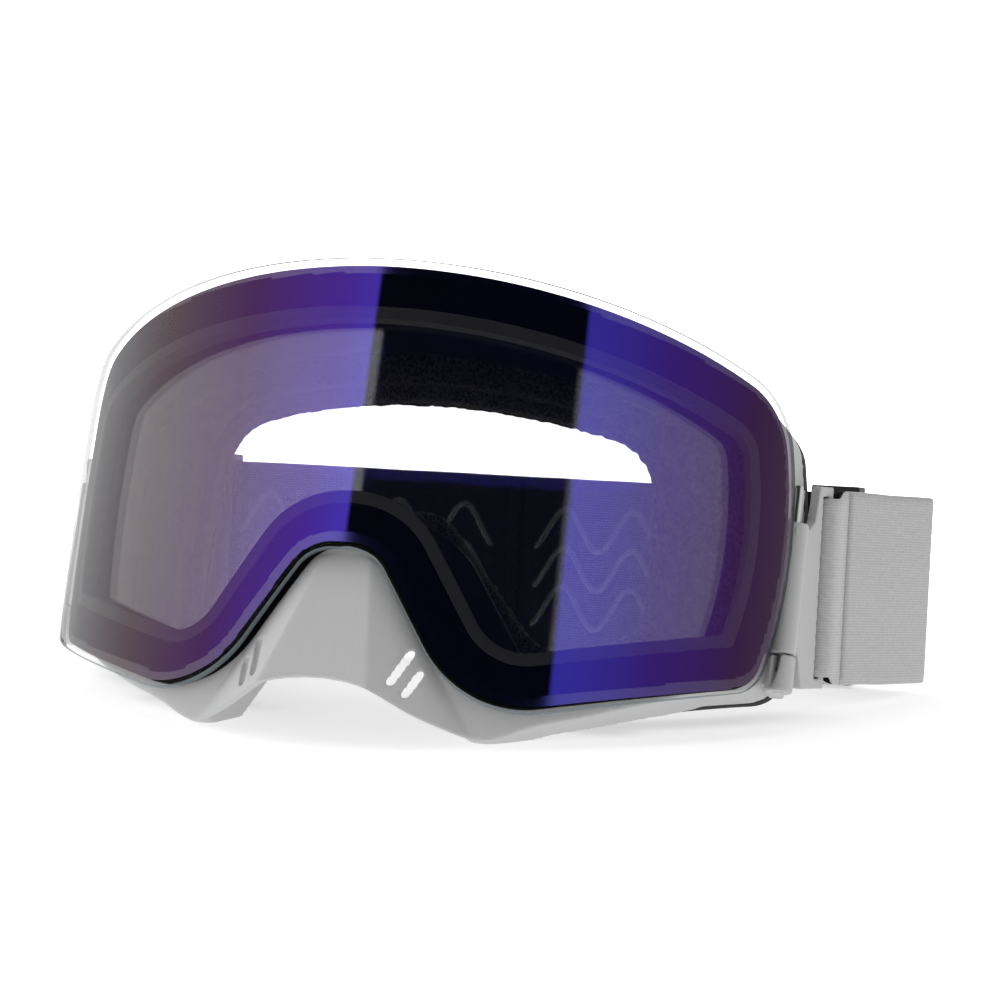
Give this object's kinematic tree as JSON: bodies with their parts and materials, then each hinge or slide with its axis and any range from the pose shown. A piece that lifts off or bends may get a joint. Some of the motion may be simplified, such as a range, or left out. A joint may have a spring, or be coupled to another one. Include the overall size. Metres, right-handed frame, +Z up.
{
  "type": "ski goggles",
  "caption": "Wide mirrored ski goggles: a curved lift-off lens on a soft frame with a nose cover, face foam, hinged strap arms and a flat elastic strap.",
  "frame": {"origin": "bottom centre of the bounding box, on the surface that the goggles rest on", "axes": "+X to the wearer's left, +Y from the lens towards the back of the strap, +Z up; the goggles lean back 18.4 degrees on their rest"},
  "size_m": [0.2082, 0.1524, 0.1039],
  "materials": {
    "mirror_lens": "mirror-coated polycarbonate, blue turning purple and grey with angle",
    "clear_lens": "clear, polished",
    "carrier_black": "polished",
    "spacer_foam": "fine closed cells",
    "magnet": "nickel plated",
    "frame_grey": "soft-touch, fine grain",
    "frame_black": "satin",
    "vent_foam": "open-cell foam",
    "firm_foam": "open-cell foam",
    "soft_foam": "open-cell foam",
    "fleece": "brushed fleece",
    "steel": "satin",
    "strap_web": "ribbed elastic weave, black inside",
    "slider_plastic": "moulded, satin",
    "silicone": "translucent beads"
  },
  "bodies": {
    "frame": {"outer_frame": "frame_grey", "inner_frame": "frame_black", "frame_magnets": "magnet", "top_vent_foam": "vent_foam", "bottom_vent_foam_left": "vent_foam", "bottom_vent_foam_right": "vent_foam", "face_foam_firm": "firm_foam", "face_foam_soft": "soft_foam", "face_fleece": "fleece", "hinge_pin_left": "steel", "hinge_pin_right": "steel", "strap_side_left": "strap_web", "strap_side_right": "strap_web", "strap_back_left": "strap_web", "strap_back_right": "strap_web", "strap_seam": "strap_web", "silicone_grip": "silicone"},
    "lens": {"outer_lens": "mirror_lens", "lens_carrier": "carrier_black", "lens_spacer": "spacer_foam", "inner_lens": "clear_lens", "lens_magnets": "magnet"},
    "outrigger_left": {"outrigger_left": "frame_grey", "strap_loop_left": "strap_web"},
    "slider_left": {"strap_slider_left": "slider_plastic", "strap_tail_left": "strap_web"},
    "outrigger_right": {"outrigger_right": "frame_grey", "strap_loop_right": "strap_web"},
    "slider_right": {"strap_slider_right": "slider_plastic", "strap_tail_right": "strap_web"}
  },
  "joints": [
    {"name": "lens_lift_off", "type": "slide", "parent": "frame", "child": "lens", "axis": [0, -0.949, 0.3153], "range_m": [0, 0.08]},
    {"name": "outrigger_left_swing", "type": "hinge", "parent": "frame", "child": "outrigger_left", "pos_m": [0.0865, 0.00042, 0.03104], "axis": [0, 0.3153, 0.949], "range_deg": [-15, 2.5]},
    {"name": "outrigger_right_swing", "type": "hinge", "parent": "frame", "child": "outrigger_right", "pos_m": [-0.0865, 0.00042, 0.03104], "axis": [0, 0.3153, 0.949], "range_deg": [-2.5, 15]},
    {"name": "slider_left_adjust", "type": "slide", "parent": "frame", "child": "slider_left", "axis": [-1, 0, 0], "range_m": [0, 0.018]},
    {"name": "slider_right_adjust", "type": "slide", "parent": "frame", "child": "slider_right", "axis": [1, 0, 0], "range_m": [0, 0.018]}
  ]
}
